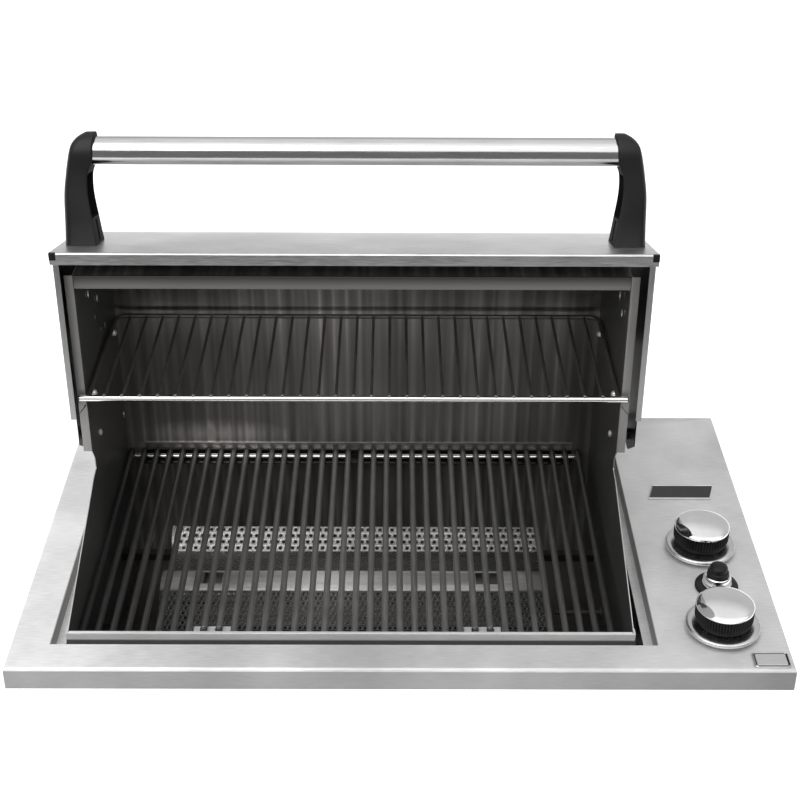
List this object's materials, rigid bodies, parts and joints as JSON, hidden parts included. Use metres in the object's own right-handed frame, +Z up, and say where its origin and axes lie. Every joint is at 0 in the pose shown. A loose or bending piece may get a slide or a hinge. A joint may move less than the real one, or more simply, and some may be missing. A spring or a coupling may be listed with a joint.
{
  "type": "countertop grill",
  "caption": "Drop-in countertop gas grill with an open roll-back hood, cooking grids, warming rack, flame cover, burners and a control strip.",
  "frame": {"origin": "middle of the bounding box's footprint, on the casing's underside", "axes": "+X to the control strip's side, +Y from the front edge to the back, +Z up"},
  "size_m": [0.864, 0.572, 0.7202],
  "materials": {
    "brushed": "brushed stainless, satin grain along the width",
    "heated": "stainless inside the firebox, satin, seen dark",
    "galv": "zinc-coated sheet, matt",
    "chrome": "polished bright plating",
    "rod": "drawn stainless rod, dull",
    "cast": "black satin coat on a casting",
    "plastic": "black moulded plastic, satin",
    "rubber": "black rubber, matt",
    "brass": "machined brass",
    "ceramic": "glazed ceramic",
    "plate": "dark satin plate with a bright edge, bare"
  },
  "bodies": {
    "firebox": {"deck_panel": "brushed", "outer_casing": "galv", "control_shield": "galv", "firebox_front": "heated", "firebox_floor": "heated", "oven_back": "heated", "firebox_side_left": "heated", "oven_side_left": "heated", "firebox_side_right": "heated", "oven_side_right": "heated", "grid_rail_front": "heated", "grid_rail_rear": "heated", "cover_rail_front": "heated", "cover_rail_rear": "heated", "burner_front": "galv", "burner_rear": "galv", "burner_saddle": "galv", "spark_electrode": "ceramic", "rack_pin_front_left": "chrome", "rack_pin_rear_left": "chrome", "pivot_bolt_left": "chrome", "pivot_bush_left": "brass", "rack_pin_front_right": "chrome", "rack_pin_rear_right": "chrome", "pivot_bolt_right": "chrome", "pivot_bush_right": "brass", "gas_valve_front": "brass", "knob_bezel_front": "chrome", "gas_valve_rear": "brass", "knob_bezel_rear": "chrome", "gas_manifold": "brass", "gas_inlet": "brass", "igniter_base": "plastic", "igniter_collar": "chrome", "igniter_module": "plastic", "nameplate": "plate", "corner_badge": "chrome"},
    "hood": {"hood_skin": "brushed", "hood_side_left": "brushed", "hood_side_right": "brushed", "handle_post_left": "cast", "handle_post_right": "cast", "handle_bar": "chrome"},
    "valve_turn_front": {"valve_stem_front": "brass"},
    "valve_turn_rear": {"valve_stem_rear": "brass"},
    "knob_front": {"knob_grip_front": "plastic", "knob_cap_front": "chrome"},
    "knob_rear": {"knob_grip_rear": "plastic", "knob_cap_rear": "chrome"},
    "igniter_push": {"igniter_button": "rubber"},
    "grid_left": {"cooking_grid_left": "rod", "lift_tab_left": "brushed"},
    "grid_right": {"cooking_grid_right": "rod", "lift_tab_right": "brushed"},
    "rack": {"warming_rack": "chrome"},
    "cover": {"flame_cover": "heated"},
    "pan": {"drip_pan": "galv"}
  },
  "joints": [
    {"name": "hood_hinge", "type": "hinge", "parent": "firebox", "child": "hood", "pos_m": [-0.055, 0.03995, 0.341], "axis": [-1, 0, 0], "range_deg": [-93.7, 0]},
    {"name": "valve_front_turn", "type": "hinge", "parent": "firebox", "child": "valve_turn_front", "pos_m": [0.363, -0.21445, 0.24], "axis": [0, 0, 1], "range_deg": [0, 180]},
    {"name": "valve_rear_turn", "type": "hinge", "parent": "firebox", "child": "valve_turn_rear", "pos_m": [0.363, -0.06095, 0.24], "axis": [0, 0, 1], "range_deg": [0, 180]},
    {"name": "knob_front_push", "type": "slide", "parent": "valve_turn_front", "child": "knob_front", "axis": [0, 0, -1], "range_m": [0, 0.003], "stiffness_N_per_m": 1500, "springref_m": -0.004},
    {"name": "knob_rear_push", "type": "slide", "parent": "valve_turn_rear", "child": "knob_rear", "axis": [0, 0, -1], "range_m": [0, 0.003], "stiffness_N_per_m": 1500, "springref_m": -0.004},
    {"name": "igniter_press", "type": "slide", "parent": "firebox", "child": "igniter_push", "axis": [0, 0, -1], "range_m": [0, 0.003], "stiffness_N_per_m": 800, "springref_m": -0.004},
    {"name": "grid_left_lift", "type": "slide", "parent": "firebox", "child": "grid_left", "axis": [0, 0, 1], "range_m": [0, 0.1]},
    {"name": "grid_right_lift", "type": "slide", "parent": "firebox", "child": "grid_right", "axis": [0, 0, 1], "range_m": [0, 0.1]},
    {"name": "rack_draw", "type": "slide", "parent": "firebox", "child": "rack", "axis": [0, -1, 0], "range_m": [0, 0.1]},
    {"name": "cover_lift", "type": "slide", "parent": "firebox", "child": "cover", "axis": [0, 0, 1], "range_m": [0, 0.03]},
    {"name": "pan_lift", "type": "slide", "parent": "firebox", "child": "pan", "axis": [0, 0, 1], "range_m": [0, 0.02]}
  ]
}
